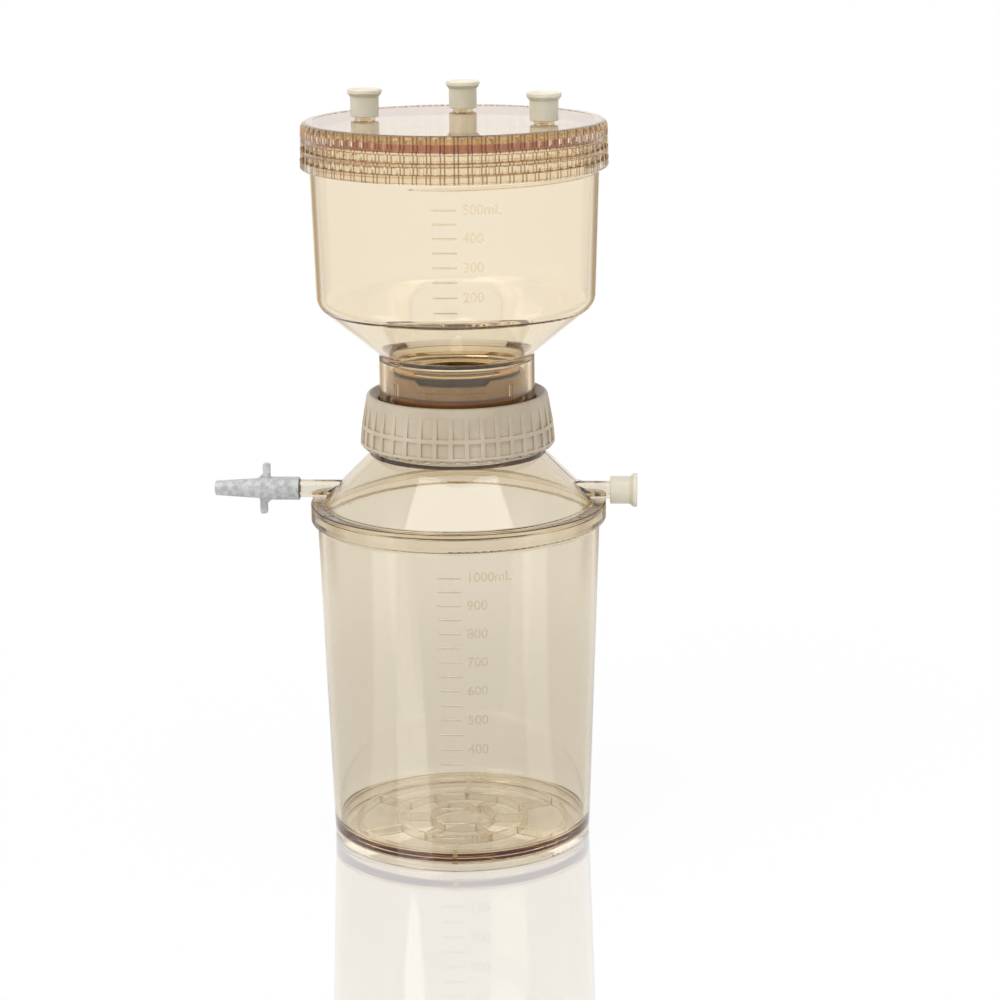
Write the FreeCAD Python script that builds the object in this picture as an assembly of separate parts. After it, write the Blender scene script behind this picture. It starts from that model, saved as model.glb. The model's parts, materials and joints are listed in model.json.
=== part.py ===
"""Reusable vacuum filtration unit: a capped funnel chamber clamped on a vacuum receiver by a lock ring.

Millimetres, +Z up. The origin is the centre of the foot on which the receiver stands, and every
round piece shares the Z axis. The two side arms of the receiver lie along X.
"""

import FreeCAD, Part
import math
import os

V = FreeCAD.Vector
Z_AXIS = V(0, 0, 1)

# ---- Receiver jar -----------------------------------------------------------------------------
JAR_HEIGHT = 138.1
JAR_FOOT_R = 52.5
JAR_MOUTH_R = 57.1
JAR_WALL = 2.3
JAR_FOOT_RIM = 2.9
JAR_FLOOR_LIFT = 4.1
JAR_FLOOR = 3.0
JAR_FOOT_ROUND = 1.8
JAR_RIM_OVERHANG = 2.4
JAR_RIM_DEPTH = 4.9
JAR_RIM_COVE = 2.4
FLOOR_RIB = 1.6
FLOOR_RIB_REST = 0.9
FLOOR_RING_RADII = (12.8, 26.5, 42.8)
FLOOR_SPOKES = 6

# ---- Receiver shoulder ------------------------------------------------------------------------
SHOULDER_FLANGE = 2.2
SHOULDER_LEDGE = 4.8
SHOULDER_ANGLE = 45.0
SHOULDER_WALL = 2.5
LOCATING_SKIRT = 1.0
LOCATING_WALL = 2.4
NECK_HEIGHT = 17.95
NECK_WALL = 2.8
NECK_BEAD = 1.8
NECK_BEAD_OVERHANG = 2.4
NECK_CONE_OVERHANG = 1.6
NECK_TOP = 2.8

# ---- Side arms, lid ports and their caps -------------------------------------------------------
ARM_R = 3.6
ARM_BORE_R = 1.9
ARM_RISE = 4.1
ARM_LENGTH = 10.0
CAP_WALL = 1.88
CAP_FLANGE_STEP = 1.2
CAP_HEIGHT = 10.8
CAP_FLANGE = 1.5
CAP_TAPER = 1.5
CAP_TOP = 2.0
CAP_DISH_EDGE = 1.3
CAP_DISH = 0.6
PORT_BOSS_R = 4.1
PORT_BOSS = 0.7
PORT_SEATS = {
    "left": (-35.4, 4.4),
    "back": (1.0, 36.4),
    "right": (35.8, -11.4),
}

# ---- Tubing adapter -----------------------------------------------------------------------------
ADAPTER_OVERLAP = 5.2
SOCKET_WALL = 0.98
SOCKET_SPARE = 3.8
SOCKET_LENGTH = 11.9
WING_LENGTH = 2.9
WING_GUSSET = 1.5
WING_STAGGER = 1.4
WING_SPAN = 20.7
WING_THICKNESS = 2.4
TAIL_STEP = 0.6
TAIL_TAPER = 1.15
TAIL_LENGTH = 18.2
TAIL_BORE_R = 1.7

# ---- Filter chamber -----------------------------------------------------------------------------
CHAMBER_NECK_R = 31.05
CHAMBER_NECK_STEP = 1.95
CHAMBER_NECK_HEIGHT = 22.5
CHAMBER_SKIRT_WALL = 2.45
CHAMBER_FLANGE = 2.4
CHAMBER_SIDE_R = 55.3
CHAMBER_DRAFT = 2.0
CHAMBER_ANGLE = 39.6
CHAMBER_SIDE = 65.6
CHAMBER_WALL = 2.3
CHAMBER_BEND = 7.0
SEAT_HEIGHT = 16.1
SEAT_WALL = 1.6
THROAT_EDGE = 0.8
THROAT_LAND = 4.6
THREAD_DEPTH = 1.2

# ---- Support plate and seals --------------------------------------------------------------------
PAD_DEPTH = 1.1
PAD_FOOT = 1.6
PAD_HALF_ANGLE = 50.0
STOP_ANGLE = 2.0
STOP_RISE = 4.7
PLATE_RIM = 1.9
PLATE_RIM_RISE = 1.9
PLATE_WEB = 2.2
PLATE_DEPTH = 5.3
PLATE_SPIGOT_WALL = 1.1
PLATE_SPIGOT = 3.8
PLATE_GAP = 25.2
LUG_WIDTH = 27.5
LUG_THICKNESS = 2.4
LUG_LIFT = 0.4
HOLE_SIZE = 1.2
HOLE_PITCH = 2.5
HOLE_MARGIN = 1.0
MEMBRANE_R = 23.5
MEMBRANE = 0.3
MEMBRANE_GASKET = 2.65
GASKET_LAP = 6.1
O_RING_SECTION_R = 1.6
O_RING_EDGE = 0.6

# ---- Lock ring ----------------------------------------------------------------------------------
RING_WALL = 4.4
RING_FOOT_STEP = 0.9
RING_FOOT_RISE = 1.2
RING_BAND = 8.6
RING_BAND_STEP = 0.7
RING_CROWN_STEP = 2.9
RING_CROWN_ROUND = 1.5
RING_CROWN_LAND = 1.3
RING_LIP = 3.7
RING_LIP_FALL = 2.3
RING_LIP_ROUND = 0.6
RING_PANELS = 38
RING_RIB = 1.7
RING_PANEL_DEPTH = 0.8
RING_PANEL_FADE = 0.1
RING_PANEL_MARGIN = 0.8
RING_PANEL_TOP = 3.7
RING_FOOT_BAND = 2.2
RING_NOTCH = 1.1
RING_NOTCH_ANGLE = 3.6

# ---- Lid ----------------------------------------------------------------------------------------
LID_WALL = 2.7
LID_DRAFT = 0.7
LID_PLATE = 3.0
LID_SKIRT = 14.9
LID_FOOT_ROUND = 1.0
LID_CREST_RISE = 0.3
LID_CREST = 4.2
LID_CREST_STEP = 0.5
LID_CREST_ROUND = 2.4
LID_RIBS = 72
LID_RIB = 1.6
LID_WINDOW_DEPTH = 1.7
LID_FOOT_BAND = 3.6
LID_WINDOW = 3.0
LID_MID_BAND = 1.4
LID_TOP_BAND = 1.7
LID_TOOTH_DEPTH = 1.1
LID_SCALLOP_R = 2.3
LID_GASKET = 3.15
LID_GASKET_LAP = 0.4

# ---- Clearances ---------------------------------------------------------------------------------
WELD_GAP = 0.15
SLIP_GAP = 0.3
SEAL_GAP = 0.3
TURN_GAP = 0.4
LIP_GAP = 0.55
RING_PLAY = 0.2
BEAD_GAP = 1.3
PUSH_GAP = 0.12
BORE_GAP = 0.5
GASKET_GAP = 0.2
THREAD_GAP = 0.7
O_RING_GAP = 0.05
TIP_GAP = 0.5
FACE_GAP = 0.05

# ---- Levels and radii that follow from the sizes above -------------------------------------------
z_mouth = JAR_HEIGHT
jar_rim_r = JAR_MOUTH_R + JAR_RIM_OVERHANG
shoulder_cone_r = jar_rim_r - SHOULDER_LEDGE
z_flange_top = z_mouth + SHOULDER_FLANGE
neck_r = CHAMBER_NECK_R + CHAMBER_NECK_STEP
neck_foot_r = neck_r + NECK_CONE_OVERHANG
z_cone_top = z_flange_top + (shoulder_cone_r - neck_foot_r) * math.tan(math.radians(SHOULDER_ANGLE))
z_bead_top = z_cone_top + NECK_BEAD
z_neck_top = z_cone_top + NECK_HEIGHT

z_chamber = z_neck_top + FACE_GAP
chamber_rim_r = CHAMBER_SIDE_R + CHAMBER_DRAFT
chamber_slope = math.tan(math.radians(CHAMBER_ANGLE))
z_cone_foot = z_chamber + CHAMBER_NECK_HEIGHT
z_side_foot = z_cone_foot + (CHAMBER_SIDE_R - CHAMBER_NECK_R) * chamber_slope
z_rim = z_side_foot + CHAMBER_SIDE
z_seat = z_chamber + SEAT_HEIGHT
skirt_bore_r = CHAMBER_NECK_R - CHAMBER_SKIRT_WALL
chamber_flange_r = neck_r + THREAD_DEPTH

pad_r = skirt_bore_r - PAD_DEPTH
plate_r = pad_r - SLIP_GAP
lug_r = skirt_bore_r - SLIP_GAP
rim_bore_r = plate_r - PLATE_RIM
gasket_r = rim_bore_r - SLIP_GAP
seat_r = gasket_r + GASKET_GAP
throat_r = MEMBRANE_R - GASKET_LAP
hole_field_r = throat_r - HOLE_MARGIN
o_ring_r = plate_r - O_RING_SECTION_R - O_RING_EDGE
z_web_top = z_seat - FACE_GAP - MEMBRANE_GASKET - MEMBRANE
z_plate_under = z_web_top - PLATE_DEPTH
z_lug = z_plate_under + LUG_LIFT
plate_spigot_r = o_ring_r - O_RING_SECTION_R - SLIP_GAP
z_o_ring = z_plate_under - O_RING_GAP - O_RING_SECTION_R
z_receiver_top = z_o_ring - O_RING_SECTION_R - SEAL_GAP
receiver_bore_r = plate_spigot_r + BORE_GAP

ring_bore_r = chamber_flange_r + TURN_GAP
ring_r = ring_bore_r + RING_WALL
z_ring_foot = z_bead_top + BEAD_GAP
z_lip = z_chamber + CHAMBER_FLANGE + RING_PLAY
z_ring_top = z_lip + RING_LIP

z_lid_under = z_rim + LID_GASKET + FACE_GAP
z_lid_top = z_lid_under + LID_PLATE
z_lid_crest = z_lid_top + LID_CREST_RISE
z_lid_foot = z_lid_under - LID_SKIRT
lid_bore_r = chamber_rim_r + THREAD_GAP
lid_r = lid_bore_r + LID_WALL
lid_top_r = lid_r - LID_DRAFT
lid_crest_r = lid_top_r - LID_CREST
lid_disc_r = lid_crest_r - LID_CREST_STEP

arm_z = z_flange_top + ARM_RISE
arm_reach = jar_rim_r + ARM_LENGTH
push_bore_r = ARM_R + PUSH_GAP
cap_body_r = push_bore_r + CAP_WALL
cap_flange_r = cap_body_r + CAP_FLANGE_STEP
cap_dish_r = cap_body_r - CAP_DISH_EDGE
socket_r = push_bore_r + SOCKET_WALL
tail_root_r = socket_r - TAIL_STEP
tail_tip_r = tail_root_r - TAIL_TAPER
cap_depth = CAP_HEIGHT - CAP_TOP
port_height = PORT_BOSS + SLIP_GAP + cap_depth - TIP_GAP
arm_cap_x = arm_reach + TIP_GAP - cap_depth
adapter_mouth_x = -(arm_reach - ADAPTER_OVERLAP)
socket_depth = ADAPTER_OVERLAP + SOCKET_SPARE


def outline(corners):
    """Closed wire in the XZ plane through (r, z) corners, or (r, z, rounding) where one is rounded."""
    points = [V(corner[0], 0, corner[1]) for corner in corners]
    edges = []
    starts = []
    for index, point in enumerate(points):
        rounding = corners[index][2] if len(corners[index]) > 2 else 0
        if not rounding:
            starts.append((point, point, None))
            continue
        back = (points[index - 1] - point).normalize()
        ahead = (points[(index + 1) % len(points)] - point).normalize()
        half = math.acos(max(-1, min(1, back.dot(ahead)))) / 2
        reach = rounding / math.tan(half)
        centre = point + (back + ahead).normalize() * (rounding / math.sin(half))
        middle = centre + (point - centre).normalize() * rounding
        starts.append((point + back * reach, point + ahead * reach, middle))
    for index, (enter, leave, middle) in enumerate(starts):
        if middle is not None:
            edges.append(Part.Arc(enter, middle, leave).toShape())
        following = starts[(index + 1) % len(starts)][0]
        if (following - leave).Length > 1e-6:
            edges.append(Part.LineSegment(leave, following).toShape())
    return Part.Wire(edges)


def turned(corners, angle=360.0, start=0.0):
    """Solid of revolution about Z: the outline swept through angle degrees from start degrees."""
    face = Part.Face(outline(corners))
    solid = face.revolve(V(0, 0, 0), Z_AXIS, angle)
    if start:
        solid.rotate(V(0, 0, 0), Z_AXIS, start)
    return solid


def around(shape, count, start=0.0):
    """Copies of a shape, evenly spaced about Z."""
    copies = []
    for index in range(count):
        copy = shape.copy()
        copy.rotate(V(0, 0, 0), Z_AXIS, start + index * 360.0 / count)
        copies.append(copy)
    return copies


def tube(outer_r, inner_r, low, high):
    return turned([(inner_r, low), (outer_r, low), (outer_r, high), (inner_r, high)])


def save(name, shape):
    solids = shape.Solids
    clean = solids[0] if len(solids) == 1 else Part.makeCompound(solids)
    clean.exportStep("parts/%s.step" % name)
    print("%-18s solids %d  valid %s  %9.1f mm3" % (name, len(solids), clean.isValid(), clean.Volume))


def make_receiver_jar():
    """Blown-looking but moulded jar: drafted wall, ribbed floor on a foot ring, and a rim at the mouth."""
    z_floor = JAR_FLOOR_LIFT + JAR_FLOOR
    z_rim_under = JAR_HEIGHT - JAR_RIM_DEPTH
    draft = (JAR_MOUTH_R - JAR_FOOT_R) / JAR_HEIGHT
    rim_root_r = JAR_FOOT_R + draft * z_rim_under
    floor_r = JAR_FOOT_R + draft * z_floor - JAR_WALL
    foot_bore_r = JAR_FOOT_R - JAR_FOOT_RIM
    jar = turned([
        (0, JAR_FLOOR_LIFT),
        (foot_bore_r, JAR_FLOOR_LIFT, 0.8),
        (foot_bore_r, 0, 0.5),
        (JAR_FOOT_R, 0, JAR_FOOT_ROUND),
        (rim_root_r, z_rim_under, JAR_RIM_COVE),
        (jar_rim_r, z_rim_under, 0.7),
        (jar_rim_r, JAR_HEIGHT),
        (JAR_MOUTH_R - JAR_WALL, JAR_HEIGHT),
        (floor_r, z_floor, 2.6),
        (0, z_floor),
    ])
    sink = JAR_FLOOR_LIFT + 0.5 * JAR_FLOOR
    ribs = [
        tube(radius + FLOOR_RIB / 2, radius - FLOOR_RIB / 2, FLOOR_RIB_REST, sink)
        for radius in FLOOR_RING_RADII
    ]
    inner, middle, outer = FLOOR_RING_RADII
    for low_r, high_r, turn in ((inner, middle, 0.0), (middle, outer, 180.0 / FLOOR_SPOKES)):
        spoke = Part.makeBox(
            high_r - low_r, FLOOR_RIB, sink - FLOOR_RIB_REST, V(low_r, -FLOOR_RIB / 2, FLOOR_RIB_REST)
        )
        ribs += around(spoke, FLOOR_SPOKES, turn)
    return jar.multiFuse(ribs).removeSplitter()


def make_receiver_shoulder():
    """Conical cover of the receiver: flange on the jar's rim, side arms, and the neck for the lock ring."""
    wall_rise = SHOULDER_WALL / math.cos(math.radians(SHOULDER_ANGLE))
    slope = math.tan(math.radians(SHOULDER_ANGLE))
    skirt_r = JAR_MOUTH_R - JAR_WALL - WELD_GAP
    skirt_bore = skirt_r - LOCATING_WALL
    neck_bore_r = neck_r - NECK_WALL
    z_roof = z_neck_top - NECK_TOP
    z_cone_at_skirt = z_flange_top + (shoulder_cone_r - skirt_bore) * slope - wall_rise
    z_cone_at_neck = z_flange_top + (shoulder_cone_r - neck_bore_r) * slope - wall_rise
    outside = turned([
        (0, z_mouth - LOCATING_SKIRT),
        (skirt_r, z_mouth - LOCATING_SKIRT),
        (skirt_r, z_mouth + FACE_GAP),
        (jar_rim_r, z_mouth + FACE_GAP),
        (jar_rim_r, z_flange_top, 0.6),
        (shoulder_cone_r, z_flange_top, 1.2),
        (neck_foot_r, z_cone_top),
        (neck_r + NECK_BEAD_OVERHANG, z_cone_top),
        (neck_r + NECK_BEAD_OVERHANG, z_bead_top),
        (neck_r, z_bead_top),
        (neck_r, z_neck_top),
        (pad_r - SLIP_GAP, z_neck_top),
        (pad_r - SLIP_GAP, z_receiver_top, 0.5),
        (0, z_receiver_top),
    ])
    cavity = turned([
        (0, z_mouth - LOCATING_SKIRT - 1),
        (skirt_bore, z_mouth - LOCATING_SKIRT - 1),
        (skirt_bore, z_cone_at_skirt, 1.5),
        (neck_bore_r, z_cone_at_neck, 3.0),
        (neck_bore_r, z_roof, 1.5),
        (receiver_bore_r, z_roof),
        (receiver_bore_r, z_receiver_top + 1),
        (0, z_receiver_top + 1),
    ])
    arms = []
    bores = []
    for side in (1, -1):
        direction = V(side, 0, 0)
        root = V(side * (skirt_bore - 8), 0, arm_z)
        reach = arm_reach - (skirt_bore - 8)
        arm = Part.makeCylinder(ARM_R, reach, root, direction)
        arms.append(arm)
        bores.append(Part.makeCylinder(ARM_BORE_R, reach + 1, root, direction))
    return outside.multiFuse(arms).cut(cavity).cut(bores).removeSplitter()


def make_filter_chamber():
    """Funnel chamber: thin drafted wall, cone down to the throat, neck skirt and clamping flange."""
    wall_rise = CHAMBER_WALL / math.cos(math.radians(CHAMBER_ANGLE))
    side_bore_r = CHAMBER_SIDE_R - CHAMBER_WALL

    def z_cone(radius, lift):
        return z_side_foot - (CHAMBER_SIDE_R - radius) * chamber_slope + lift

    seat_rise = SEAT_WALL / math.cos(math.radians(CHAMBER_ANGLE))
    land_r = throat_r + THROAT_LAND
    body = turned([
        (skirt_bore_r, z_chamber),
        (chamber_flange_r, z_chamber),
        (chamber_flange_r, z_chamber + CHAMBER_FLANGE),
        (CHAMBER_NECK_R, z_chamber + CHAMBER_FLANGE),
        (CHAMBER_NECK_R, z_cone_foot, 1.0),
        (CHAMBER_SIDE_R, z_side_foot, CHAMBER_BEND),
        (chamber_rim_r, z_rim, 0.5),
        (chamber_rim_r - CHAMBER_WALL, z_rim, 0.5),
        (side_bore_r, z_cone(side_bore_r, wall_rise), CHAMBER_BEND - CHAMBER_WALL),
        (land_r, z_cone(land_r, wall_rise), 3.0),
        (throat_r, z_seat + THROAT_EDGE, 0.3),
        (throat_r, z_seat),
        (seat_r, z_seat),
        (seat_r, z_cone(seat_r, wall_rise - seat_rise)),
        (skirt_bore_r, z_cone(skirt_bore_r, wall_rise - seat_rise), 0.8),
    ])
    inner_parts = []
    sink_r = skirt_bore_r + CHAMBER_SKIRT_WALL / 2
    z_pad = z_chamber + PAD_FOOT
    z_pad_top = z_lug - FACE_GAP
    z_stop = z_pad_top + STOP_RISE
    pad_profile = [(pad_r, z_pad), (sink_r, z_pad), (sink_r, z_pad_top), (pad_r, z_pad_top)]
    stop_profile = [(pad_r, z_pad), (sink_r, z_pad), (sink_r, z_stop), (pad_r, z_stop, 0.5)]
    for middle in (90.0, 270.0):
        inner_parts.append(turned(pad_profile, 2 * PAD_HALF_ANGLE, middle - PAD_HALF_ANGLE))
        for side in (-1, 1):
            edge = middle + side * (PAD_HALF_ANGLE + STOP_ANGLE / 2)
            inner_parts.append(turned(stop_profile, STOP_ANGLE, edge - STOP_ANGLE / 2))
    return body.multiFuse(inner_parts).removeSplitter()


def make_support_plate():
    """Perforated plate under the membrane: rim open at two sides, bayonet lugs there, spigot below."""
    plate = turned([
        (0, z_web_top - PLATE_WEB),
        (plate_spigot_r - PLATE_SPIGOT_WALL, z_web_top - PLATE_WEB),
        (plate_spigot_r - PLATE_SPIGOT_WALL, z_plate_under - PLATE_SPIGOT),
        (plate_spigot_r, z_plate_under - PLATE_SPIGOT),
        (plate_spigot_r, z_plate_under),
        (plate_r, z_plate_under),
        (plate_r, z_web_top + PLATE_RIM_RISE, 0.4),
        (rim_bore_r, z_web_top + PLATE_RIM_RISE),
        (rim_bore_r, z_web_top),
        (0, z_web_top),
    ])
    z_lug_top = z_lug + LUG_THICKNESS
    half_angle = math.degrees(math.asin(LUG_WIDTH / 2 / lug_r))
    lug_profile = [
        (plate_r - PLATE_RIM / 2, z_lug),
        (lug_r, z_lug),
        (lug_r, z_lug_top, 0.4),
        (plate_r - PLATE_RIM / 2, z_lug_top),
    ]
    lugs = [turned(lug_profile, 2 * half_angle, middle - half_angle) for middle in (90.0, 270.0)]
    above = PLATE_RIM_RISE + 1
    half_gap = PLATE_GAP / 2
    gap_wire = Part.makePolygon([
        V(-half_gap, -lug_r, z_web_top),
        V(half_gap, -lug_r, z_web_top),
        V(half_gap + above, -lug_r, z_web_top + above),
        V(-half_gap - above, -lug_r, z_web_top + above),
        V(-half_gap, -lug_r, z_web_top),
    ])
    gaps = Part.Face(gap_wire).extrude(V(0, 2 * lug_r, 0))
    steps = int(hole_field_r // HOLE_PITCH)
    holes = []
    for row in range(-steps, steps + 1):
        for column in range(-steps, steps + 1):
            x = column * HOLE_PITCH
            y = row * HOLE_PITCH
            if math.hypot(x, y) > hole_field_r:
                continue
            corner = V(x - HOLE_SIZE / 2, y - HOLE_SIZE / 2, z_web_top - PLATE_WEB - 1)
            holes.append(Part.makeBox(HOLE_SIZE, HOLE_SIZE, PLATE_WEB + 2, corner))
    return plate.multiFuse(lugs).cut(gaps).cut(holes).removeSplitter()


def make_plate_o_ring():
    return Part.makeTorus(o_ring_r, O_RING_SECTION_R, V(0, 0, z_o_ring), Z_AXIS)


def make_membrane_filter():
    return Part.makeCylinder(MEMBRANE_R, MEMBRANE, V(0, 0, z_web_top))


def make_membrane_gasket():
    z_foot = z_web_top + MEMBRANE
    return tube(gasket_r, throat_r, z_foot, z_foot + MEMBRANE_GASKET)


def make_lock_ring():
    """Lock ring: inner lip over the chamber's flange, two rows of grip panels and a notched foot."""
    z_side = z_ring_foot + RING_FOOT_RISE
    z_band = z_ring_foot + RING_BAND
    z_panel_top = z_ring_top - RING_PANEL_TOP
    band_r = ring_r - RING_BAND_STEP
    crown_r = ring_r - RING_CROWN_STEP
    lip_r = CHAMBER_NECK_R + LIP_GAP
    body = turned([
        (ring_bore_r, z_ring_foot),
        (ring_r - RING_FOOT_STEP, z_ring_foot),
        (ring_r, z_side, 0.8),
        (band_r, z_band),
        (crown_r, z_ring_top, RING_CROWN_ROUND),
        (crown_r - RING_CROWN_LAND, z_ring_top, 0.6),
        (lip_r, z_ring_top - RING_LIP_FALL, RING_LIP_ROUND),
        (lip_r, z_lip),
        (ring_bore_r, z_lip),
    ])
    pitch = 360.0 / RING_PANELS
    panel_angle = pitch - math.degrees(RING_RIB / ring_r)
    beyond = ring_r + 2

    def side_r(z):
        """Outer radius of the ring where its panels lie."""
        if z < z_band:
            return ring_r + (band_r - ring_r) * (z - z_side) / (z_band - z_side)
        return band_r + (crown_r - band_r) * (z - z_band) / (z_ring_top - z_band)

    cutters = []
    rows = (
        (z_ring_foot + RING_FOOT_BAND, z_band - RING_PANEL_MARGIN, RING_PANEL_DEPTH),
        (z_band + RING_PANEL_MARGIN, z_panel_top, RING_PANEL_FADE),
    )
    for low, high, high_depth in rows:
        panel = turned([
            (side_r(low) - RING_PANEL_DEPTH, low),
            (beyond, low),
            (beyond, high),
            (side_r(high) - high_depth, high),
        ], panel_angle, -panel_angle / 2)
        cutters += around(panel, RING_PANELS)
    notch = turned([
        (ring_r - RING_WALL / 2, z_ring_foot - 1),
        (beyond, z_ring_foot - 1),
        (beyond, z_ring_foot + RING_NOTCH),
        (ring_r - RING_WALL / 2, z_ring_foot + RING_NOTCH),
    ], RING_NOTCH_ANGLE, -RING_NOTCH_ANGLE / 2)
    cutters += around(notch, RING_PANELS)
    return body.cut(cutters)


def make_chamber_lid():
    """Screw lid: flat plate with three ports, and a skirt of ribs and windows that ends in a toothed crest."""
    body = turned([
        (0, z_lid_under),
        (lid_bore_r, z_lid_under),
        (lid_bore_r, z_lid_foot, 0.4),
        (lid_r, z_lid_foot, LID_FOOT_ROUND),
        (lid_top_r, z_lid_crest, LID_CREST_ROUND),
        (lid_crest_r, z_lid_crest, 0.5),
        (lid_disc_r, z_lid_top, 0.4),
        (0, z_lid_top),
    ])
    pitch = 360.0 / LID_RIBS
    window_angle = pitch - math.degrees(LID_RIB / lid_r)
    beyond = lid_r + 2
    floor_r = lid_r - LID_WINDOW_DEPTH
    z_low_window = z_lid_foot + LID_FOOT_BAND
    z_high_window = z_low_window + LID_WINDOW + LID_MID_BAND
    z_tooth = z_high_window + LID_WINDOW + LID_TOP_BAND
    profiles = (
        [(floor_r, z_low_window), (beyond, z_low_window),
         (beyond, z_low_window + LID_WINDOW), (floor_r, z_low_window + LID_WINDOW)],
        [(floor_r, z_high_window), (beyond, z_high_window),
         (beyond, z_high_window + LID_WINDOW), (floor_r, z_high_window + LID_WINDOW)],
    )
    cutters = []
    for profile in profiles:
        cutters += around(turned(profile, window_angle, -window_angle / 2), LID_RIBS)
    scallop_x = lid_top_r - LID_TOOTH_DEPTH + LID_SCALLOP_R
    scallop = Part.makeCylinder(LID_SCALLOP_R, z_lid_crest + 1 - z_tooth, V(scallop_x, 0, z_tooth))
    cutters += around(scallop, LID_RIBS)
    ports = []
    half_plate = LID_PLATE / 2
    for x, y in PORT_SEATS.values():
        root = V(x, y, z_lid_top - half_plate)
        ports.append(Part.makeCylinder(PORT_BOSS_R, half_plate + PORT_BOSS, root))
        ports.append(Part.makeCylinder(ARM_R, half_plate + port_height, root))
        cutters.append(Part.makeCylinder(ARM_BORE_R, port_height + LID_PLATE + 2, V(x, y, z_lid_under - 1)))
    return body.multiFuse(ports).cut(cutters)


def make_lid_gasket():
    inner_r = chamber_rim_r - CHAMBER_WALL - LID_GASKET_LAP
    return tube(lid_bore_r - WELD_GAP, inner_r, z_rim, z_rim + LID_GASKET)


def make_cap():
    """Push-on cap, open end down at z = 0: stepped flange at the closed end, shallow dish in its top."""
    z_flange = CAP_HEIGHT - CAP_FLANGE
    return turned([
        (0, cap_depth),
        (push_bore_r, cap_depth, 0.3),
        (push_bore_r, 0, 0.3),
        (cap_body_r, 0, 0.4),
        (cap_body_r, z_flange - CAP_TAPER, 0.5),
        (cap_flange_r, z_flange, 0.4),
        (cap_flange_r, CAP_HEIGHT, 0.4),
        (cap_dish_r + CAP_DISH, CAP_HEIGHT, 0.3),
        (cap_dish_r, CAP_HEIGHT - CAP_DISH, 0.3),
        (0, CAP_HEIGHT - CAP_DISH),
    ])


def make_port_cap(x, y):
    cap = make_cap()
    cap.translate(V(x, y, z_lid_top + PORT_BOSS + SLIP_GAP))
    return cap


def make_side_arm_cap():
    cap = make_cap()
    cap.rotate(V(0, 0, 0), V(0, 1, 0), 90)
    cap.translate(V(arm_cap_x, 0, arm_z))
    return cap


def make_tubing_adapter():
    """Adapter on the left arm: socket, two staggered wings to twist it by, and a tapered hose tail."""
    z_tail = SOCKET_LENGTH + WING_LENGTH + WING_STAGGER
    z_tip = z_tail + TAIL_LENGTH
    body = turned([
        (push_bore_r, 0, 0.3),
        (socket_r, 0, 0.4),
        (socket_r, z_tail),
        (tail_root_r, z_tail, 0.5),
        (tail_tip_r, z_tip, 0.5),
        (TAIL_BORE_R, z_tip, 0.3),
        (TAIL_BORE_R, socket_depth),
        (push_bore_r, socket_depth),
    ])
    wings = []
    flare = WING_GUSSET + socket_r - ARM_R
    for side, shift in ((1, 0.0), (-1, WING_STAGGER)):
        z_middle = SOCKET_LENGTH + shift + WING_LENGTH / 2
        z_plain = z_middle - side * WING_LENGTH / 2
        z_gusset = z_middle + side * WING_LENGTH / 2
        root_x = side * ARM_R
        foot_x = side * (socket_r + WING_GUSSET)
        tip_x = side * WING_SPAN / 2
        wing_wire = Part.makePolygon([
            V(root_x, -WING_THICKNESS / 2, z_gusset + side * flare),
            V(foot_x, -WING_THICKNESS / 2, z_gusset),
            V(tip_x, -WING_THICKNESS / 2, z_gusset),
            V(tip_x, -WING_THICKNESS / 2, z_plain),
            V(root_x, -WING_THICKNESS / 2, z_plain),
            V(root_x, -WING_THICKNESS / 2, z_gusset + side * flare),
        ])
        wing = Part.Face(wing_wire).extrude(V(0, WING_THICKNESS, 0))
        edges = [
            edge for edge in wing.Edges
            if all(abs(vertex.X - tip_x) < 1e-6 for vertex in edge.Vertexes)
            and abs(edge.Vertexes[0].Z - edge.Vertexes[1].Z) < 1e-6
        ]
        wings.append(wing.makeFillet(0.8, edges))
    bore = Part.makeCylinder(push_bore_r, socket_depth)
    passage = Part.makeCylinder(TAIL_BORE_R, z_tip)
    adapter = body.multiFuse(wings).cut([bore, passage]).removeSplitter()
    adapter.rotate(V(0, 0, 0), V(0, 1, 0), -90)
    adapter.translate(V(adapter_mouth_x, 0, arm_z))
    return adapter


def main():
    os.makedirs("parts", exist_ok=True)
    save("receiver_jar", make_receiver_jar())
    save("receiver_shoulder", make_receiver_shoulder())
    save("filter_chamber", make_filter_chamber())
    save("support_plate", make_support_plate())
    save("plate_o_ring", make_plate_o_ring())
    save("membrane_filter", make_membrane_filter())
    save("membrane_gasket", make_membrane_gasket())
    save("lock_ring", make_lock_ring())
    save("chamber_lid", make_chamber_lid())
    save("lid_gasket", make_lid_gasket())
    for place, (x, y) in PORT_SEATS.items():
        save("port_cap_" + place, make_port_cap(x, y))
    save("side_arm_cap", make_side_arm_cap())
    save("tubing_adapter", make_tubing_adapter())
    print("neck top %.2f  seat %.2f  rim %.2f  lid top %.2f" % (z_neck_top, z_seat, z_rim, z_lid_top))


main()
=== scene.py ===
# %% [markdown]
# # A vacuum filtration unit in clear amber plastic
# The unit stands on a bench: a funnel chamber with a screw lid is clamped by a putty coloured ring on a
# one litre receiver with two side arms. Nearly all of it is clear, so this lesson is about thick walls of
# tinted plastic, the light that they bend, and the small moulded marks that give the walls away.

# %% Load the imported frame
import json
import math

import bmesh
import bpy
import numpy as np
from mathutils import Matrix, Vector


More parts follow.
